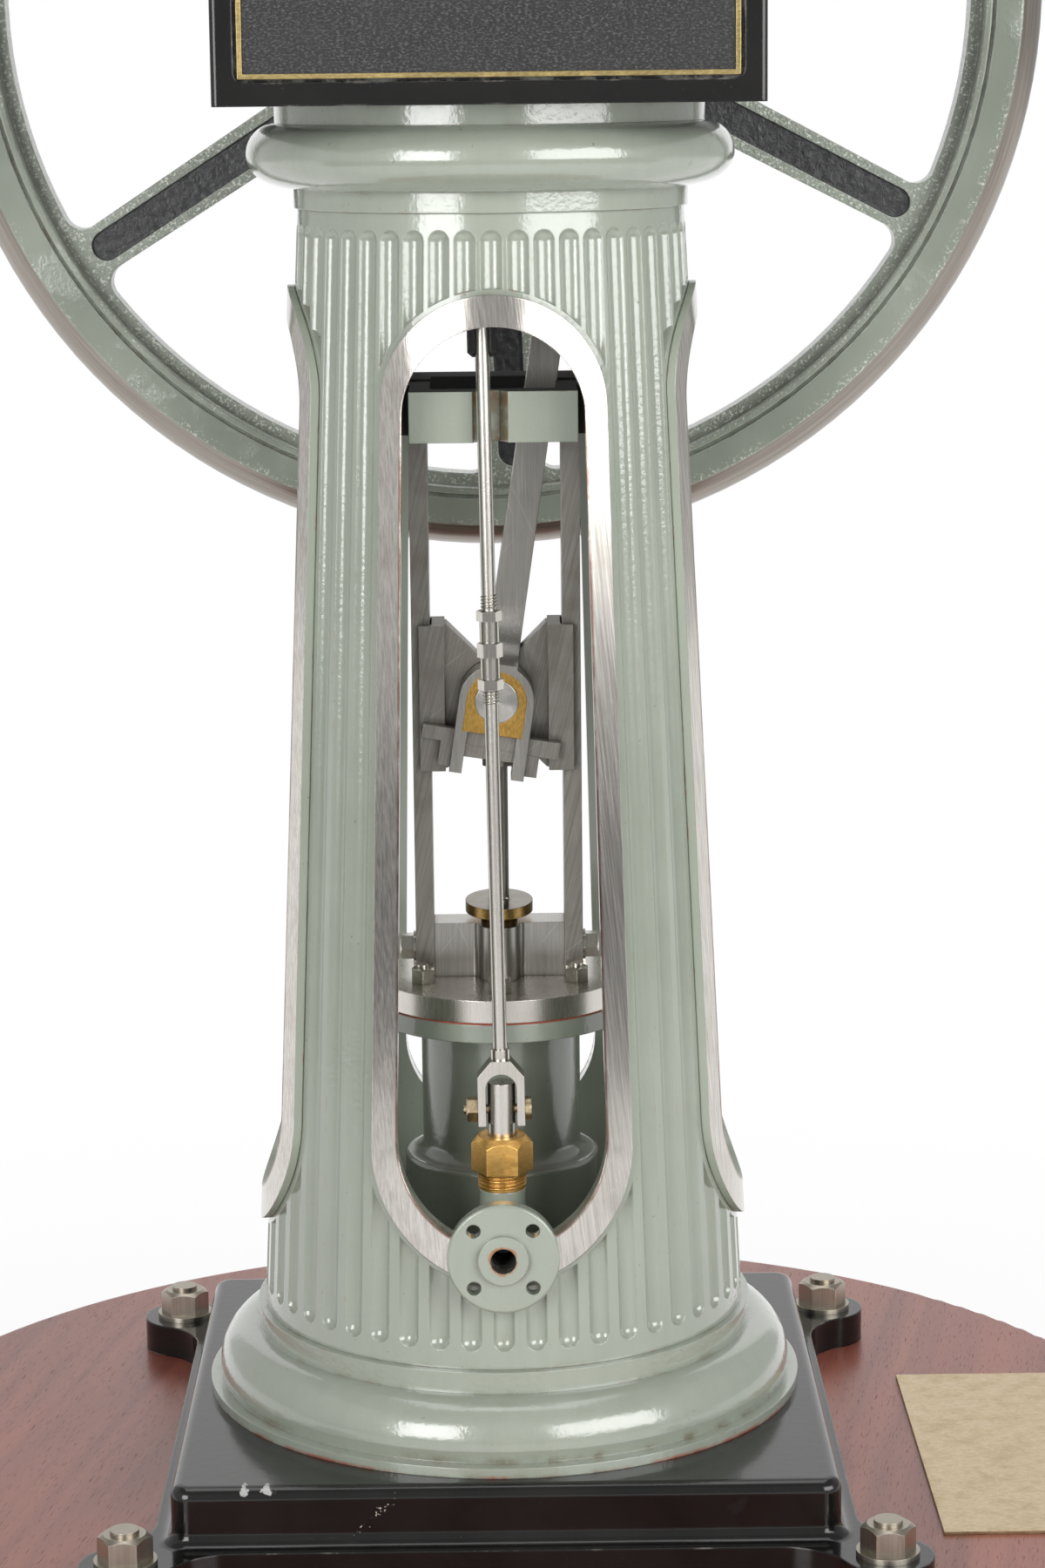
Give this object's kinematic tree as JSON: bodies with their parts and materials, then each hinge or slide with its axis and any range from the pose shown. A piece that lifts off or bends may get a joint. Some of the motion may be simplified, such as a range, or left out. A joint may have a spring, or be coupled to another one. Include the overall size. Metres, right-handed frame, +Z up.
{
  "type": "column steam engine",
  "caption": "Model vertical steam engine built inside a fluted column with window openings, on a bed plate and round wooden base, with a crank box on top and a spoked flywheel behind.",
  "frame": {"origin": "the middle of the wooden base's underside, under the column's axis", "axes": "+Z up along the column, front with the steam inlet and name panel facing -Y, +X to the right seen from the front, flywheel behind at +Y"},
  "size_m": [0.308, 0.308, 0.4748],
  "materials": {
    "mahogany": "gloss varnish",
    "brass": "polished",
    "bronze": "machined",
    "black_paint": "gloss",
    "green_paint": "gloss",
    "panel_grey": "matt",
    "bright_steel": "brushed",
    "dark_steel": "ground",
    "red_jointing": "matt"
  },
  "bodies": {
    "engine_frame": {"base_disc": "mahogany", "base_tablet": "brass", "name_panel_border": "brass", "gland": "brass", "valve_gland_nut": "brass", "front_bearing": "bronze", "back_bearing": "bronze", "bed_plate": "black_paint", "crank_box": "black_paint", "column_base": "green_paint", "column_shaft": "green_paint", "column_capital": "green_paint", "cylinder": "green_paint", "steam_inlet": "green_paint", "guide_head": "green_paint", "name_panel": "panel_grey", "window_surround_front": "bright_steel", "window_surround_right": "bright_steel", "window_surround_back": "bright_steel", "window_surround_left": "bright_steel", "hold_down_nuts": "bright_steel", "cover_nuts": "bright_steel", "cylinder_cover": "bright_steel", "gland_studs": "bright_steel", "guide_bar_bolts": "bright_steel", "guide_bracket": "dark_steel", "guide_bar_left": "dark_steel", "guide_bar_right": "dark_steel", "cover_gasket": "red_jointing"},
    "crank": {"flywheel": "green_paint", "crankshaft": "bright_steel", "crank_webs": "bright_steel"},
    "slide_block": {"crosshead": "dark_steel", "piston_rod": "bright_steel", "crosshead_pin": "bright_steel"},
    "drive_rod": {"connecting_rod": "bright_steel", "small_end_brasses": "bronze", "cotters": "dark_steel", "gibs": "dark_steel", "crank_pin": "bright_steel"},
    "spindle": {"valve_spindle": "bright_steel"},
    "valve_gear": {"valve_fork": "bright_steel", "fork_pin": "brass", "valve_rod": "bright_steel", "rod_adjuster": "bright_steel", "eccentric_rod": "black_paint", "eccentric_strap": "black_paint", "eccentric_sheave": "bright_steel"}
  },
  "joints": [
    {"name": "crank_turn", "type": "hinge", "parent": "engine_frame", "child": "crank", "pos_m": [0, 0, 0.3478], "axis": [0, 1, 0], "continuous": true},
    {"name": "crosshead_slide", "type": "slide", "parent": "engine_frame", "child": "slide_block", "axis": [0, 0, 1], "range_m": [-0.0277, 0.019]},
    {"name": "rod_swing", "type": "hinge", "parent": "slide_block", "child": "drive_rod", "pos_m": [0, 0, 0.19712], "axis": [0, 1, 0], "range_deg": [-17.31, 0.05]},
    {"name": "valve_slide", "type": "slide", "parent": "engine_frame", "child": "spindle", "axis": [0, 0, 1], "range_m": [-0.0018, 0.0052]},
    {"name": "valve_rod_swing", "type": "hinge", "parent": "spindle", "child": "valve_gear", "pos_m": [0, -0.0315, 0.1123], "axis": [0, 1, 0], "range_deg": [-0.11, 1.61]}
  ]
}
